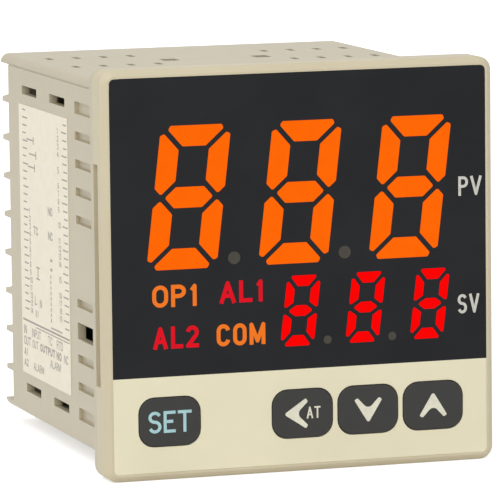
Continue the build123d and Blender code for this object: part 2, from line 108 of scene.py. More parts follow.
# Where a change between two tones starts and ends on a noise, and the detail of the finest noise
TONE_START = 0.3
TONE_END = 0.7
FINE_DETAIL = 4.0

# Strength of the displays' and the words' light
DISPLAY_GLOW = 1.0
WORD_GLOW = 0.9

# Front film: where its window ends, its reach past its seat, its corners, how far it stands out from the frame,
# and its holes: the flange that a key's box includes, the play around the cap, and their corners
WINDOW_BOTTOM = -17.75
FILM_REACH = 0.07
FILM_CORNER = 0.9
FILM_PROUD = 0.02
KEY_FLANGE = 0.35
KEY_PLAY = 0.12
KEY_HOLE_CORNER = 2.9

# Thickness of all print, and the corners of the two displays' segments
PRINT_THICKNESS = 0.03
PV_CORNER = 0.4
SV_CORNER = 0.3

# Words on the film: left edge, right edge and height of the middle
OP1_PLACE = (-27.3, -18.8, -3.6)
COM_PLACE = (-15.65, -6.7, -11.0)
AL1_PLACE = (-15.1, -6.75, -3.45)
AL2_PLACE = (-27.3, -18.9, -10.9)
PV_PLACE = (29.45, 33.9, 13.2)
SV_PLACE = (29.2, 33.35, -7.8)
WORD_HEIGHT = 3.9
WORD_STROKE = 0.72
ROW_WORD_HEIGHT = 3.45
ROW_WORD_STROKE = 0.5

# Lettering: shares of a word's width, the gap between letters in pen widths, and the turn, in radians, past which
# a stroke's corner is rounded
LETTER_WIDTHS = {"A": 1.2, "C": 1.0, "D": 1.0, "E": 0.9, "I": 0.1, "L": 0.85, "M": 1.25, "N": 1.05, "O": 1.0,
                 "P": 0.92, "R": 0.95, "S": 1.0, "T": 1.1, "U": 1.0, "V": 1.2, "0": 0.95, "1": 0.5, "2": 0.95,
                 "3": 0.9, "4": 1.0, "5": 0.9, "6": 0.9, "7": 0.9, "8": 0.9, "9": 0.9}
LETTER_GAP = 1.75
SHARP_TURN = 1.8

# Steps of a rounded corner, the distance at which points become one, and how flat a front face is
ROUND_STEPS = 6
MERGE_DISTANCE = 0.001
FACE_TOLERANCE = 0.01

# Marks on the keys: half the width of SET, its height and pen; AT from the key's middle: left, right and up
SET_HALF = 3.95
SET_HEIGHT = 3.85
SET_STROKE = 0.55
AT_PLACE = (0.7, 3.3, 0.1)
AT_HEIGHT = 2.1
AT_STROKE = 0.28

# Arrowheads: width, height and notch, how far the shift key's is moved, how far the tip's corner stands out, the
# wings' ends, and the radii from the tip round
ARROW_SIZE = (5.2, 4.2, 2.1)
SHIFT_ARROW_SIZE = (5.4, 4.1, 2.1)
SHIFT_ARROW_MOVE = -1.1
ARROW_TIP = 0.35
ARROW_END = 0.35
ARROW_WING = 0.62
ARROW_RADII = (0.35, 0.22, 0.26, 1.0, 0.26, 0.22)

# Label on the left side: its height and corners, its pens, the height of a row, and the divider's distance down
LABEL_HEIGHT = (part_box("wiring_label")[1].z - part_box("wiring_label")[0].z) / MM
LABEL_CORNER = 0.3
LABEL_PEN = 0.26
PRINT_PEN = 0.2
BOLD_PEN = 0.38
LABEL_ROW = 1.42
DIVIDER_DOWN = 40.0

# Terminal lines and numbers along the label's edges, from the rear or the front edge. Rows go from the top.
FIRST_ROW = 0.6
SHORTEST_LINE = 2.2
LINE_STEP = 0.6
REAR_LINE_AT = 2.5
REAR_NUMBER_AT = 6.2
REAR_NUMBERS_FROM = 13
FRONT_LINE_IN = 0.4
FRONT_NUMBER_IN = 6.6
NUMBER_SIZE = 1.15

# Symbols of the diagram: half the height and width of a contact, the reach of its line, the signs' size and pen,
# and the dashed lead: its place, its first dash from top to bottom, its dashes, half its width, and its last run
CONTACT_HALF = 0.7
CONTACT_PEN = 0.24
CONTACT_LINE = 4.6
SIGN_SIZE = 1.6
SIGN_PEN = 0.28
LEAD_AT = 20.3
LEAD_FIRST_DASH = (29.6, 30.3)
LEAD_DASHES = 9
LEAD_HALF = 0.25
LEAD_END_IN = 5.0
LEAD_RISE = 0.7

# Small print below the divider: the height of a row, the first row's place and the headings, and the share of its
# size that a letter is wide
PRINT_ROW = 2.05
FIRST_PRINT_ROW = 0.9
HEADING_AT = 1.2
HEADING_PEN = 0.26
LETTER_SHARE = 0.66


def srgb(red, green, blue):
    """Linear colour from the usual 0 to 255 values."""
    linear = []
    for value in (red, green, blue):
        share = value / 255
        linear.append(share / 12.92 if share <= 0.04045 else ((share + 0.055) / 1.055) ** 2.4)
    return (*linear, 1.0)


def scaled(colour, factor):
    """The same colour, lighter or darker."""
    return tuple(min(1.0, value * factor) for value in colour[:3]) + (1.0,)


# Materials

def shader(name, roughness, metallic=0.0, specular=0.5):
    """New material with its Principled shader and its node tree."""
    made = bpy.data.materials.new(name)
    made.use_nodes = True
    principled = made.node_tree.nodes["Principled BSDF"]
    principled.inputs["Roughness"].default_value = roughness
    principled.inputs["Metallic"].default_value = metallic
    principled.inputs["Specular IOR Level"].default_value = specular
    return made, principled, made.node_tree


def noise(tree, scale, detail=3.0, stretch=None):
    """Noise over the object's own coordinates, in cycles per metre."""
    place = tree.nodes.new("ShaderNodeTexCoord")
    source = place.outputs["Object"]
    if stretch:
        mapping = tree.nodes.new("ShaderNodeMapping")
        mapping.inputs["Scale"].default_value = stretch
        tree.links.new(source, mapping.inputs["Vector"])
        source = mapping.outputs["Vector"]
    texture = tree.nodes.new("ShaderNodeTexNoise")
    texture.inputs["Scale"].default_value = scale
    texture.inputs["Detail"].default_value = detail
    tree.links.new(source, texture.inputs["Vector"])
    return texture.outputs["Fac"]


def two_tone(tree, factor, dark, light, target):
    """Colour that wanders between two tones."""
    ramp = tree.nodes.new("ShaderNodeValToRGB")
    first, last = ramp.color_ramp.elements
    first.position = TONE_START
    last.position = TONE_END
    first.color = dark
    last.color = light
    tree.links.new(factor, ramp.inputs["Fac"])
    tree.links.new(ramp.outputs["Color"], target)


def roughness_range(tree, principled, factor, low, high):
    """Roughness that varies between two values."""
    spread = tree.nodes.new("ShaderNodeMapRange")
    spread.inputs["To Min"].default_value = low
    spread.inputs["To Max"].default_value = high
    tree.links.new(factor, spread.inputs["Value"])
    tree.links.new(spread.outputs["Result"], principled.inputs["Roughness"])


def bump(tree, principled, height, strength, depth):
    """Fine relief on the surface, its depth in millimetres."""
    node = tree.nodes.new("ShaderNodeBump")
    node.inputs["Strength"].default_value = strength
    node.inputs["Distance"].default_value = depth * MM
    tree.links.new(height, node.inputs["Height"])
    tree.links.new(node.outputs["Normal"], principled.inputs["Normal"])


def moulded(name, colour, variation=0.03, grain=2600, grain_strength=0.25, low=0.42, high=0.52, specular=0.4):
    """Moulded plastic: slow drift of colour, uneven gloss and the fine grain of the tool's surface."""
    made, principled, tree = shader(name, low, specular=specular)
    drift = noise(tree, scale=45)
    dark, light = scaled(colour, 1 - variation), scaled(colour, 1 + variation)
    two_tone(tree, drift, dark, light, principled.inputs["Base Color"])
    roughness_range(tree, principled, noise(tree, scale=320), low, high)
    bump(tree, principled, noise(tree, grain, FINE_DETAIL), grain_strength, depth=0.04)
    return made


def metal(name, colour, low, high, brush=None):
    """Plated metal with fine scratches and a little tarnish."""
    made, principled, tree = shader(name, low, metallic=1.0)
    tarnish = noise(tree, scale=260)
    two_tone(tree, tarnish, scaled(colour, 0.82), colour, principled.inputs["Base Color"])
    roughness_range(tree, principled, noise(tree, scale=900, stretch=brush), low, high)
    bump(tree, principled, noise(tree, scale=2400, stretch=brush), strength=0.2, depth=0.02)
    return made


def board_green(name):
    """Circuit board: lacquer with paler tracks."""
    made, principled, tree = shader(name, roughness=0.35)
    place = tree.nodes.new("ShaderNodeTexCoord")
    cells = tree.nodes.new("ShaderNodeTexBrick")
    cells.inputs["Scale"].default_value = 260
    cells.inputs["Color1"].default_value = srgb(22, 84, 48)
    cells.inputs["Color2"].default_value = srgb(28, 96, 56)
    cells.inputs["Mortar"].default_value = srgb(70, 128, 84)
    tree.links.new(place.outputs["Object"], cells.inputs["Vector"])
    tree.links.new(cells.outputs["Color"], principled.inputs["Base Color"])
    roughness_range(tree, principled, noise(tree, scale=400), low=0.3, high=0.42)
    return made


def glow(name, colour, strength):
    """Lit plastic: an even light with a faint cloudiness."""
    made, principled, tree = shader(name, roughness=0.5, specular=0.02)
    principled.inputs["Emission Strength"].default_value = strength
    cloud = noise(tree, scale=380)
    two_tone(tree, cloud, scaled(colour, 0.02), scaled(colour, 0.03), principled.inputs["Base Color"])
    two_tone(tree, cloud, scaled(colour, 0.95), colour, principled.inputs["Emission Color"])
    return made


def window_film(name):
    """Dark, hard-coated window of the film."""
    made, principled, tree = shader(name, roughness=0.4, specular=0.15)
    cloud = noise(tree, scale=90)
    two_tone(tree, cloud, srgb(*WINDOW_DARK), srgb(*WINDOW_LIGHT), principled.inputs["Base Color"])
    roughness_range(tree, principled, noise(tree, scale=240), low=0.36, high=0.44)
    bump(tree, principled, noise(tree, 1500, FINE_DETAIL), strength=0.08, depth=0.01)
    return made


def paper(name):
    """Printed paper label: fibres and a soft sheen."""
    made, principled, tree = shader(name, roughness=0.6, specular=0.3)
    fibres = noise(tree, scale=700, detail=5.0)
    two_tone(tree, fibres, srgb(*PAPER_DARK), srgb(*PAPER_LIGHT), principled.inputs["Base Color"])
    bump(tree, principled, noise(tree, 3500, FINE_DETAIL), strength=0.3, depth=0.02)
    return made


def ink(name, colour):
    """Printing ink, a little uneven."""
    made, principled, tree = shader(name, roughness=0.5, specular=0.3)
    patches = noise(tree, 1400, FINE_DETAIL)
    two_tone(tree, patches, scaled(colour, 0.92), scaled(colour, 1.06), principled.inputs["Base Color"])
    return made


# Flat shapes, as outlines in millimetres on a surface

def arc(centre, radii, start, end, steps=10):
    """Points along an ellipse's arc, angles in degrees."""
    angles = [radians(start + (end - start) * n / steps) for n in range(steps + 1)]
    return [(centre[0] + radii[0] * cos(a), centre[1] + radii[1] * sin(a)) for a in angles]


def angles_through(turn):
    """Angles from nothing up to a turn, in the steps of a rounded corner."""
    return [turn * step / ROUND_STEPS for step in range(ROUND_STEPS + 1)]


def rounded(corners, radii):
    """Closed outline with rounded corners."""
    outline = []
    count = len(corners)
    for n, corner in enumerate(corners):
        here = Vector(corner)
        before = (Vector(corners[n - 1]) - here).normalized()
        after = (Vector(corners[(n + 1) % count]) - here).normalized()
        radius = radii[n]
        if radius == 0:
            outline.append(tuple(here))
            continue
        half = before.angle(after) / 2
        middle = here + (before + after).normalized() * radius / sin(half)
        first = here + before * radius * cos(half) / sin(half) - middle
        last = here + after * radius * cos(half) / sin(half) - middle
        sweep = first.angle_signed(last)
        for angle in angles_through(-sweep):
            outline.append(tuple(middle + Matrix.Rotation(angle, 2) @ first))
    return outline


def rectangle(left, right, low, high, radii):
    """Rectangle from its lower left corner round, with a radius for each corner."""
    return rounded([(left, low), (right, low), (right, high), (left, high)], radii)


def stroke(line, width):
    """Closed outline of a pen stroke with flat ends. A closed line gives two outlines."""
    half = width / 2
    closed = line[0] == line[-1]
    points = [Vector(p) for p in (line[:-1] if closed else line)]
    left, right = [], []
    for n, here in enumerate(points):
        towards = [here - points[n - 1]] if closed or n else []
        onwards = [points[(n + 1) % len(points)] - here] if closed or n < len(points) - 1 else []
        first = (towards or onwards)[0].normalized()
        last = (onwards or towards)[0].normalized()
        turn = -first.angle_signed(last)
        normal = Vector((-first.y, first.x))
        mitre = Matrix.Rotation(turn / 2, 2) @ normal * half / cos(turn / 2)
        fan = [mitre]
        if abs(turn) > SHARP_TURN:
            fan = [Matrix.Rotation(angle, 2) @ normal * half for angle in angles_through(turn)]
        left += [here + v for v in fan] if turn < 0 else [here + mitre]
        right += [here - v for v in fan] if turn > 0 else [here - mitre]
    left = [tuple(p) for p in left]
    right = [tuple(p) for p in right]
    return [left, right] if closed else [left + right[::-1]]


def letter(name, width, half_pen):
    """Pen lines of a capital or a figure in a box of height 1. Ends reach half a pen past the box or butt a stem."""
    half, low, high, far = width / 2, -half_pen, 1 + half_pen, width + half_pen
    if name in "O0":
        loop = arc((half, 1 - half), (half, half), 0, 180) + arc((half, half), (half, half), 180, 360)
        return [loop + loop[:1]]
    if name == "C":
        return [arc((half, 1 - half), (half, half), 8, 180) + arc((half, half), (half, half), 180, 352)]
    if name in "PR":
        bowl = arc((half, 0.74), (half, 0.26), 90, -90)
        lines = [[(0, low), (0, high)], [(half_pen, 1)] + bowl + [(half_pen, 0.48)]]
        leg = [(half, 0.48 - half_pen), (width, low)]
        return lines + [leg] if name == "R" else lines
    if name == "1":
        return [[(width * 0.1, 0.76), (width * 0.62, 1), (width * 0.62, low)]]
    if name == "A":
        bar_end = half * 0.3 + half_pen
        return [[(0, low), (half, 1), (width, low)], [(bar_end, 0.3), (width - bar_end, 0.3)]]
    if name == "L":
        return [[(0, high), (0, 0), (far, 0)]]
    if name == "2":
        return [arc((half, 0.73), (half, 0.27), 170, -35) + [(0, 0), (far, 0)]]
    if name == "M":
        return [[(0, low), (0, 1), (half, 0.1), (width, 1), (width, low)]]
    if name == "S":
        return [arc((half, 0.76), (half, 0.24), 20, 250) + arc((half, 0.26), (half, 0.26), 72, -160)]
    if name == "E":
        return [[(far, 1), (0, 1), (0, 0), (far, 0)], [(half_pen, 0.52), (width * 0.9, 0.52)]]
    if name == "T":
        return [[(low, 1), (far, 1)], [(half, 1 - half_pen), (half, low)]]
    if name == "V":
        return [[(0, high), (half, 0), (width, high)]]
    if name == "N":
        return [[(0, low), (0, 1), (width, 0), (width, high)]]
    if name == "U":
        return [[(0, high)] + arc((half, half), (half, half), 180, 360) + [(width, high)]]
    if name == "I":
        return [[(half, low), (half, high)]]
    if name == "D":
        bowl = arc((half, 0.5), (half, 0.5), 90, -90)
        return [[(0, low), (0, high)], [(half_pen, 1)] + bowl + [(half_pen, 0)]]
    return figure(name, width, half_pen)


def figure(name, width, half_pen):
    """Pen lines of a figure from 3 to 9, in the same box as a letter."""
    half, low, high, far = width / 2, -half_pen, 1 + half_pen, width + half_pen
    bowl = arc((half, 0.29), (half, 0.29), 90, -150)
    if name == "3":
        return [[(0, 1), (width, 1)] + bowl]
    if name == "4":
        stem = width * 0.7
        return [[(stem, low), (stem, high)], [(stem - half_pen, 0.95), (0, 0.3), (stem - half_pen, 0.3)],
                [(stem + half_pen, 0.3), (far, 0.3)]]
    if name == "5":
        return [[(width, 1), (0, 1), (0, 0.58)] + bowl]
    if name in "69":
        line = arc((width * 0.6, 0.6), (width * 0.6, 0.4), 60, 180) + arc((half, 0.3), (half, 0.3), 190, 465)
        return [line] if name == "6" else [[(width - u, 1 - v) for u, v in line]]
    if name == "7":
        return [[(0, 1), (width, 1), (width * 0.35, low)]]
    if name == "8":
        ring = arc((half, 0.29), (half, 0.29), 90, 414, 9)
        return [ring + ring[:1], arc((half, 0.79), (half * 0.84, 0.21), -35, 215)]
    raise ValueError(name)


def word(text, left, right, middle, height, pen):
    """Outlines of a word between two edges, around the height of its middle."""
    inner = height - pen
    total = sum(LETTER_WIDTHS[name] for name in text)
    gap_count = len(text) - 1
    gap = pen * LETTER_GAP
    scale = (right - left - pen - gap * gap_count) / total
    outlines = []
    at = left + pen / 2
    for name in text:
        span = LETTER_WIDTHS[name] * scale
        for line in letter(name, span / inner, pen / inner / 2):
            placed = [(at + u * inner, middle - inner / 2 + v * inner) for u, v in line]
            if line[0] == line[-1]:
                placed[-1] = placed[0]
            outlines.append(stroke(placed, pen))
        at += span + gap
    return outlines


def on_surface(name, groups, thickness, origin, right, up, materials):
    """Thin solid on a surface, from groups of outlines. In a group, an outline inside another is a hole."""
    out = Vector(right).cross(Vector(up))
    facing = Matrix((right, up, out)).transposed().to_4x4()
    facing.translation = Vector(origin)
    whole = bmesh.new()
    for index, outlines in groups:
        curve = bpy.data.curves.new(name, "CURVE")
        curve.dimensions = "2D"
        curve.fill_mode = "BOTH"
        curve.extrude = thickness * MM / 2
        for outline in outlines:
            spline = curve.splines.new("POLY")
            spline.points.add(len(outline) - 1)
            for point, (u, v) in zip(spline.points, outline):
                point.co = (u * MM, v * MM, 0.0, 1.0)
            spline.use_cyclic_u = True
        carrier = bpy.data.objects.new(name, curve)
        mesh = bpy.data.meshes.new_from_object(carrier)
        for polygon in mesh.polygons:
            polygon.material_index = index
        whole.from_mesh(mesh)
        bpy.data.objects.remove(carrier)
        bpy.data.meshes.remove(mesh)
    bmesh.ops.remove_doubles(whole, verts=whole.verts, dist=MERGE_DISTANCE * MM)
    bmesh.ops.transform(whole, matrix=facing, verts=whole.verts)
    bmesh.ops.recalc_face_normals(whole, faces=whole.faces)
    mesh = bpy.data.meshes.new(name)
    whole.to_mesh(mesh)
    whole.free()
    for entry in materials:
        mesh.materials.append(entry)
    made = bpy.data.objects.new(name, mesh)
    bpy.context.scene.collection.objects.link(made)
    return made


def on_front(name, groups, level, thickness, materials, body="housing"):
    """Flat piece seen from the front, with its face at a level of Y in metres."""
    origin = (0, level + thickness * MM / 2, 0)
    made = on_surface(name, groups, thickness, origin, (1, 0, 0), (0, 0, 1), materials)
    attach(made, body)
    return made


def front_print(name, marks, face, look, body="housing"):
    """Print on a face that is seen from the front and lies at a level of Y in metres."""
    level = face - PRINT_THICKNESS * MM
    return on_front(name, [(0, group) for group in marks], level, PRINT_THICKNESS, [look], body)


# The front film and its print

def key_hole(key):
    """Outline of the film's hole around a key's cap."""
    low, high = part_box(f"{key}_key")
    inset = KEY_FLANGE - KEY_PLAY
    left, right = low.x / MM + inset, high.x / MM - inset
    return rectangle(left, right, low.z / MM + inset, high.z / MM - inset, (KEY_HOLE_CORNER,) * 4)


def film_face():
    """Y of the film's face, which lies just over the frame's lip and hides its seat's wider corners."""
    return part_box("front_bezel")[0].y - FILM_PROUD * MM


def front_film(window, cream):
    """Film in two zones: the smoked window above, the cream key area below."""
    low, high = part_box("front_overlay")
    left, right = low.x / MM - FILM_REACH, high.x / MM + FILM_REACH
    bottom, top = low.z / MM - FILM_REACH, high.z / MM + FILM_REACH
    upper = [rectangle(left, right, WINDOW_BOTTOM, top, (0, 0, FILM_CORNER, FILM_CORNER))]
    lower = [rectangle(left, right, bottom, WINDOW_BOTTOM, (FILM_CORNER, FILM_CORNER, 0, 0))]
    lower += [key_hole(key) for key in KEYS]
    thickness = (high.y - film_face()) / MM
    film = on_front("front_film", [(0, upper), (1, lower)], film_face(), thickness, [window, cream])
    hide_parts("front_overlay")


def clipped(corners, point, normal):
    """Part of a convex outline behind a line through the point."""
    kept = []
    for here, onwards in zip(corners, corners[1:] + corners[:1]):
        near = (here - point).dot(normal)
        far = (onwards - point).dot(normal)
        if near <= 0:
            kept.append(here)
        if near * far < 0:
            kept.append(here.lerp(onwards, near / (near - far)))
    return kept


def softened(outline, radius):
    """Convex outline with every corner rounded: moved inwards by the radius, then out again with arcs."""
    middle = sum((Vector(p) for p in outline), Vector((0, 0))) / len(outline)
    corners = sorted((Vector(p) for p in outline), key=lambda p: atan2(p.y - middle.y, p.x - middle.x))
    edges = [(here, onwards - here) for here, onwards in zip(corners, corners[1:] + corners[:1])]
    kept = corners
    for start, along in edges:
        normal = Vector((along.y, -along.x)).normalized()
        kept = clipped(kept, start - normal * radius, normal)
    rim = []
    for n, here in enumerate(kept):
        before = (here - kept[n - 1]).normalized()
        after = (kept[(n + 1) % len(kept)] - here).normalized()
        turn = -before.angle_signed(after)
        spoke = Vector((before.y, -before.x)) * radius
        rim += [tuple(here + Matrix.Rotation(angle, 2) @ spoke) for angle in angles_through(turn)]
    return rim


def face_outlines(node):
    """Outlines of a CAD node's shapes as seen from the front, in millimetres."""
    whole = bmesh.new()
    whole.from_mesh(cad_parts[node].data)
    bmesh.ops.remove_doubles(whole, verts=whole.verts, dist=MERGE_DISTANCE * MM)
    bmesh.ops.dissolve_limit(whole, angle_limit=radians(1), verts=whole.verts, edges=whole.edges)
    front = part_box(node)[0].y
    outlines = []
    for face in whole.faces:
        if all(abs(v.co.y - front) < FACE_TOLERANCE * MM for v in face.verts):
            outlines.append([(v.co.x / MM, v.co.z / MM) for v in face.verts])
    whole.free()
    return outlines


def lit_shapes(name, node, look, radius=0.0):
    """Light of a CAD node's shapes as it shows at the face of the film."""
    outlines = face_outlines(node)
    if radius:
        outlines = [softened(outline, radius) for outline in outlines]
    made = front_print(name, [[outline] for outline in outlines], film_face(), look)
    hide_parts(node)


def film_words(orange, red, pale):
    """Words lit from behind and the names of the two rows."""
    lit = word("OP1", *OP1_PLACE, WORD_HEIGHT, WORD_STROKE)
    lit += word("COM", *COM_PLACE, WORD_HEIGHT, WORD_STROKE)
    alarm = word("AL1", *AL1_PLACE, WORD_HEIGHT, WORD_STROKE)
    alarm += word("AL2", *AL2_PLACE, WORD_HEIGHT, WORD_STROKE)
    rows = word("PV", *PV_PLACE, ROW_WORD_HEIGHT, ROW_WORD_STROKE)
    rows += word("SV", *SV_PLACE, ROW_WORD_HEIGHT, ROW_WORD_STROKE)
    pieces = (("output_words", lit, orange, "output_lamps"), ("alarm_words", alarm, red, "alarm_lamps"),
              ("row_words", rows, pale, "front_overlay"))
    for name, marks, look, slot in pieces:
        made = front_print(name, marks, film_face(), look)


# Marks on the keys

def arrowhead(width, height, notch):
    """Arrowhead that points up, with a hollow back and rounded tips, around the middle of its box."""
    half, low = width / 2, -height / 2
    corners = [(0, height / 2 + ARROW_TIP), (-half, low + ARROW_END), (-half + ARROW_WING, low),
               (0, low + notch), (half - ARROW_WING, low), (half, low + ARROW_END)]
    return rounded(corners, ARROW_RADII)


def turned(outline, angle, shift):
    """Outline turned about its middle, by degrees, and moved."""
    turn = Matrix.Rotation(radians(angle), 2)
    return [tuple(turn @ Vector(p) + Vector(shift)) for p in outline]


def key_centre(key):
    """Middle of a key as seen from the front, in millimetres."""
    low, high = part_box(f"{key}_key")
    return (low.x + high.x) / 2 / MM, (low.z + high.z) / 2 / MM


def key_mark(key, marks, look):
    """Printed mark on one key, which moves with it."""
    made = front_print(f"{key}_mark", marks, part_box(f"{key}_key")[0].y, look, f"{key}_button")


def key_marks(cream, blue):
    """SET in pale blue, the arrows and AT in cream."""
    x, z = key_centre("set")
    key_mark("set", word("SET", x - SET_HALF, x + SET_HALF, z, SET_HEIGHT, SET_STROKE), blue)
    for key, angle in (("up", 0), ("down", 180)):
        key_mark(key, [[turned(arrowhead(*ARROW_SIZE), angle, key_centre(key))]], cream)
    x, z = key_centre("shift")
    arrow = [[turned(arrowhead(*SHIFT_ARROW_SIZE), 90, (x + SHIFT_ARROW_MOVE, z))]]
    left, right, up = AT_PLACE
    key_mark("shift", arrow + word("AT", x + left, x + right, z + up, AT_HEIGHT, AT_STROKE), cream)


# The wiring label: its marks are placed from its rear edge and its top

def dash(left, right, down, pen=LABEL_PEN):
    """Printed line across the label, at a distance down from its top."""
    low, high = LABEL_HEIGHT - down - pen / 2, LABEL_HEIGHT - down + pen / 2
    return [[(left, low), (right, low), (right, high), (left, high)]]


def upright(at, top, bottom, half=LABEL_PEN):
    """Printed line down the label between two distances from its top, with half its width."""
    return [[(at - half, LABEL_HEIGHT - bottom), (at + half, LABEL_HEIGHT - bottom),
             (at + half, LABEL_HEIGHT - top), (at - half, LABEL_HEIGHT - top)]]


def printed(text, at, down, size, pen=PRINT_PEN):
    """Word or number on the label, from its left end."""
    letters = sum(LETTER_WIDTHS[name] for name in text) * size * LETTER_SHARE
    wide = letters + pen * (LETTER_GAP * (len(text) - 1) + 1)
    return word(text, at, at + wide, LABEL_HEIGHT - down, size, pen)


def edge_columns(length):
    """Terminal lines and numbers along both long edges. The lines' lengths and the gaps in the numbers vary."""
    marks = []
    rear_number, front_number = 0, 0
    for row in range(int(DIVIDER_DOWN / LABEL_ROW) - 1):
        down = LABEL_ROW * (row + FIRST_ROW)
        front_down = down + LABEL_ROW / 3
        reach = SHORTEST_LINE + row * 5 % 3 * LINE_STEP
        marks.append(dash(REAR_LINE_AT, REAR_LINE_AT + reach, down))
        marks.append(dash(length - FRONT_LINE_IN - reach, length - FRONT_LINE_IN, front_down))
        if row * 3 % 7 > 1:
            front_number += 1
            marks += printed(str(front_number), length - FRONT_NUMBER_IN, front_down, NUMBER_SIZE)
        if row >= REAR_NUMBERS_FROM:
            rear_number += 1
            marks += printed(str(rear_number), REAR_NUMBER_AT, down, NUMBER_SIZE)
    return marks


def contact(at, down):
    """Contact symbol: a short upright and the line that leads to it."""
    return [upright(at, down - CONTACT_HALF, down + CONTACT_HALF, CONTACT_PEN),
            dash(at - CONTACT_LINE, at - CONTACT_PEN, down)]


def small_symbols():
    """Two thick bars, an upright between two lines, and a pair of uprights."""
    bars = [dash(20.2, 21.4, 26.9, 0.5), dash(20.2, 21.4, 28.6, 0.5)]
    between = [dash(10.4, 12.8, 29.3), upright(11.6, 29.45, 31.25, 0.25), dash(10.4, 12.8, 31.4)]
    pair = [upright(9.9, 37.4, 38.6), upright(11.2, 37.4, 38.6, 0.15)]
    return bars + between + pair


def lead(length):
    """Dashed line down the diagram, which ends in a run towards the front edge, above the divider."""
    top, bottom = LEAD_FIRST_DASH
    marks = [upright(LEAD_AT, top + n, bottom + n, LEAD_HALF) for n in range(LEAD_DASHES)]
    marks.append(dash(LEAD_AT - LEAD_HALF, length - LEAD_END_IN, DIVIDER_DOWN - LEAD_RISE))
    return marks


def symbols(length):
    """Contacts, signs, symbols and a lead in the middle of the diagram."""
    marks = []
    for at, down in ((9.8, 6.1), (11.4, 8.7), (10.4, 11.1)):
        marks += contact(at, down)
    signs = (("TC", 9.0, 22.6), ("L", 9.2, 35.6), ("N", 12.6, 35.8), ("NO", 19.0, 18.0), ("NC", 19.0, 22.5))
    for text, at, down in signs:
        marks += printed(text, at, down, SIGN_SIZE, SIGN_PEN)
    return marks + small_symbols() + lead(length)


def small_print():
    """Four rows of words below the divider."""
    first, second, third, fourth = (DIVIDER_DOWN + PRINT_ROW * (row + FIRST_PRINT_ROW) for row in range(4))
    marks = printed("IN", HEADING_AT, first, 1.7, HEADING_PEN)
    marks += printed("OUT", HEADING_AT, second, 1.7, HEADING_PEN)
    marks += printed("A1", HEADING_AT, third, 1.5, HEADING_PEN)
    marks += printed("A2", HEADING_AT, fourth, 1.4, HEADING_PEN)
    marks += printed("INPUT", 6.9, first, 1.6) + printed("TC", 17.8, first, 1.6) + printed("RTD", 23.6, first, 1.6)
    marks += printed("OUT", 7.0, second, 1.5) + printed("OUTPUT", 12.4, second, 1.55, BOLD_PEN)
    marks += printed("NO", 23.4, second, 1.6, BOLD_PEN) + printed("NC", 28.4, second, 1.6)
    marks += printed("ALARM", 19.0, third, 1.5) + printed("ALARM", 7.6, fourth, 1.5)
    return marks


def diagram(length):
    """Printed marks of the label: the wiring diagram, a double divider and four rows of small print."""
    marks = edge_columns(length) + symbols(length)
    marks.append(dash(0.8, length - 0.2, DIVIDER_DOWN, 0.35))
    marks.append(dash(length * 0.3, length - 0.2, DIVIDER_DOWN + 0.6, 0.2))
    return marks + small_print()


def on_label(name, marks, thickness, x, look):
    """Flat piece on the left side, where the label is, with its middle at a level of X in metres."""
    low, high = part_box("wiring_label")
    groups = [(0, group) for group in marks]
    made = on_surface(name, groups, thickness, (x, high.y, low.z), (0, -1, 0), (0, 0, 1), [look])
    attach(made, "housing")
    return made


def wiring_label(sheet, print_ink):
    """Paper label with a generic wiring diagram: terminals along both edges, contacts, lines and a divider."""
    low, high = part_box("wiring_label")
    length, thickness = (high.y - low.y) / MM, (high.x - low.x) / MM
    outline = rectangle(0, length, 0, LABEL_HEIGHT, (LABEL_CORNER,) * 4)
    paper_sheet = on_label("label_paper", [[outline]], thickness, low.x + thickness * MM / 2, sheet)
    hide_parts("wiring_label")
    on_label("label_print", diagram(length), PRINT_THICKNESS, low.x, print_ink)


# Finishes of the CAD nodes

def finish(look, *nodes):
    """Gives CAD nodes a material in place of their plain one."""
    for node in nodes:
        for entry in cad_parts[node].material_slots:
            entry.material = look


def cad_finishes():
    """Materials of everything that the CAD already shapes."""
    caps = [f"{key}_key" for key in KEYS]
    plungers = [f"{key}_plunger" for key in KEYS]
    finish(moulded("case_plastic", srgb(*CASE_COLOUR), low=0.38, high=0.46, specular=0.55), "rear_case")
    finish(moulded("frame_plastic", srgb(*FRAME_COLOUR)), "front_bezel")
    finish(moulded("key_plastic", srgb(*KEY_COLOUR), grain=1800, specular=0.25), *caps)
    finish(moulded("black_plastic", srgb(22, 22, 24)), "display_housing", "board_headers", "switch_bodies")
    finish(moulded("plunger_plastic", srgb(18, 18, 18)), *plungers)
    finish(moulded("lamp_diffuser", srgb(30, 26, 26)), "output_lamps", "alarm_lamps")
    finish(moulded("chip_plastic", srgb(26, 26, 27)), "microcontroller", "input_amplifier", "bridge_rectifier",
           "voltage_regulator")
    finish(moulded("relay_plastic", srgb(40, 74, 134)), "output_relay", "alarm_relays")
    finish(moulded("sleeve_plastic", srgb(28, 34, 74), low=0.25, high=0.35), "filter_capacitors")
    finish(moulded("coil_tape", srgb(205, 172, 74), variation=0.08), "transformer_coil")
    finish(board_green("board_lacquer"), "display_board", "power_board", "control_board")
    finish(metal("core_steel", srgb(120, 118, 116), low=0.4, high=0.55, brush=(1, 12, 1)), "transformer_core")
    finish(metal("can_metal", srgb(200, 200, 200), low=0.25, high=0.35), "crystal")
    finish(metal("tinned_metal", srgb(205, 203, 196), low=0.28, high=0.42, brush=(8, 1, 1)), "terminal_plates")
    finish(metal("washer_metal", srgb(200, 200, 200), low=0.25, high=0.4), "clamp_washers")
    finish(metal("screw_metal", srgb(206, 206, 204), low=0.22, high=0.36), "terminal_screws")


# Stage

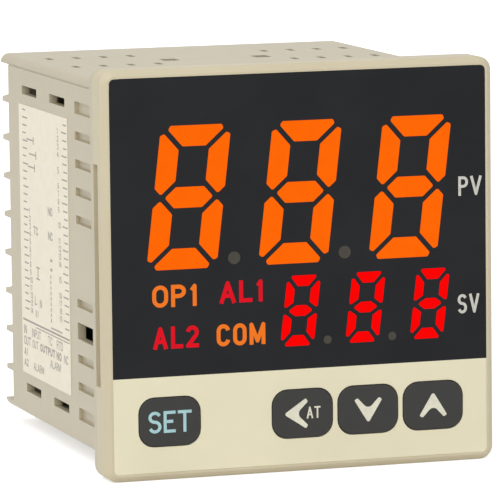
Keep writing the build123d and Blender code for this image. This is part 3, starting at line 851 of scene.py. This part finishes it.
def add_camera():
    """Camera at the photograph's angle."""
    yaw, pitch, roll = radians(CAMERA_YAW), radians(CAMERA_PITCH), radians(CAMERA_ROLL)
    ahead = Vector((sin(yaw) * cos(pitch), cos(yaw) * cos(pitch), -sin(pitch)))
    level_right = Vector((cos(yaw), -sin(yaw), 0))
    level_up = level_right.cross(ahead)
    right = level_right * cos(roll) + level_up * sin(roll)
    up = level_up * cos(roll) - level_right * sin(roll)
    facing = Matrix((right, up, -ahead)).transposed().to_4x4()
    data = bpy.data.cameras.new("photo_camera")
    data.lens = CAMERA_LENS
    data.sensor_width = SENSOR_WIDTH
    data.clip_end = VIEW_END
    made = bpy.data.objects.new("photo_camera", data)
    made.matrix_world = Matrix.Translation(Vector(CAMERA_PLACE) * MM) @ facing
    bpy.context.scene.collection.objects.link(made)
    bpy.context.scene.camera = made


def seen_directly(tree):
    """1 for what the camera sees straight, by reflection or through a clear surface."""
    path = tree.nodes.new("ShaderNodeLightPath")
    total = path.outputs["Is Camera Ray"]
    for kind in ("Is Glossy Ray", "Is Transmission Ray"):
        add = tree.nodes.new("ShaderNodeMath")
        add.operation = "MAXIMUM"
        tree.links.new(total, add.inputs[0])
        tree.links.new(path.outputs[kind], add.inputs[1])
        total = add.outputs["Value"]
    return total


def add_world():
    """Even white surroundings: full white where seen, softer as light."""
    world = bpy.data.worlds.new("studio")
    world.use_nodes = True
    bpy.context.scene.world = world
    tree = world.node_tree
    background = tree.nodes["Background"]
    background.inputs["Color"].default_value = (1, 1, 1, 1)
    strength = tree.nodes.new("ShaderNodeMapRange")
    strength.inputs["To Min"].default_value = WORLD_LIGHT
    strength.inputs["To Max"].default_value = 1.0
    tree.links.new(seen_directly(tree), strength.inputs["Value"])
    tree.links.new(strength.outputs["Result"], background.inputs["Strength"])


def add_floor():
    """Plain pale floor under the lowest edge, which keeps the shadow."""
    half = FLOOR_HALF
    mesh = bpy.data.meshes.new("floor")
    bottom = cad_bounds[0][2] - FLOOR_GAP * MM
    corners = [(-half, -half, bottom), (half, -half, bottom), (half, half, bottom), (-half, half, bottom)]
    mesh.from_pydata(corners, [], [(0, 1, 2, 3)])
    made = bpy.data.objects.new("floor", mesh)
    bpy.context.scene.collection.objects.link(made)
    look, principled, tree = shader("floor_white", FLOOR_ROUGHNESS, specular=0.0)
    principled.inputs["Base Color"].default_value = (FLOOR_GREY, FLOOR_GREY, FLOOR_GREY, 1)
    glow_level = tree.nodes.new("ShaderNodeMapRange")
    glow_level.inputs["To Max"].default_value = FLOOR_GLOW
    tree.links.new(seen_directly(tree), glow_level.inputs["Value"])
    principled.inputs["Emission Color"].default_value = (1, 1, 1, 1)
    tree.links.new(glow_level.outputs["Result"], principled.inputs["Emission Strength"])
    mesh.materials.append(look)


def add_lamp(name, place, power):
    """Square soft lamp that looks at the object."""
    data = bpy.data.lights.new(name, "AREA")
    data.size = LAMP_SIZE
    data.energy = power
    made = bpy.data.objects.new(name, data)
    made.location = place
    made.rotation_euler = (-Vector(place)).to_track_quat("-Z", "Y").to_euler()
    bpy.context.scene.collection.objects.link(made)


def add_stage():
    """Camera, surroundings, floor and lamps."""
    add_camera()
    add_world()
    add_floor()
    add_lamp("key_lamp", KEY_LIGHT_PLACE, KEY_LIGHT)
    add_lamp("front_lamp", FRONT_LIGHT_PLACE, FRONT_LIGHT)
    add_lamp("top_lamp", TOP_LIGHT_PLACE, TOP_LIGHT)


def add_front():
    """The film, what shines through it, its words and the marks on the keys."""
    window = window_film("dark_film")
    front_film(window, moulded("cream_film", srgb(*CREAM_FILM_COLOUR), grain=1500, grain_strength=0.12))
    lit_shapes("pv_digits", "pv_segments", glow("orange_light", srgb(*PV_COLOUR), DISPLAY_GLOW), PV_CORNER)
    lit_shapes("sv_digits", "sv_segments", glow("red_light", srgb(*SV_COLOUR), DISPLAY_GLOW), SV_CORNER)
    lit_shapes("unlit_points", "decimal_points", moulded("point_diffuser", srgb(*POINT_COLOUR)))
    orange = glow("orange_word", srgb(*ORANGE_WORD_COLOUR), WORD_GLOW)
    red = glow("red_word", srgb(*RED_WORD_COLOUR), WORD_GLOW)
    film_words(orange, red, ink("pale_ink", srgb(*PALE_INK_COLOUR)))
    key_marks(ink("cream_ink", srgb(*CREAM_INK_COLOUR)), ink("blue_ink", srgb(*BLUE_INK_COLOUR)))


add_stage()
cad_finishes()
add_front()
wiring_label(paper("label_paper"), ink("label_ink", srgb(*LABEL_INK_COLOUR)))

bpy.context.scene.view_settings.view_transform = "Standard"
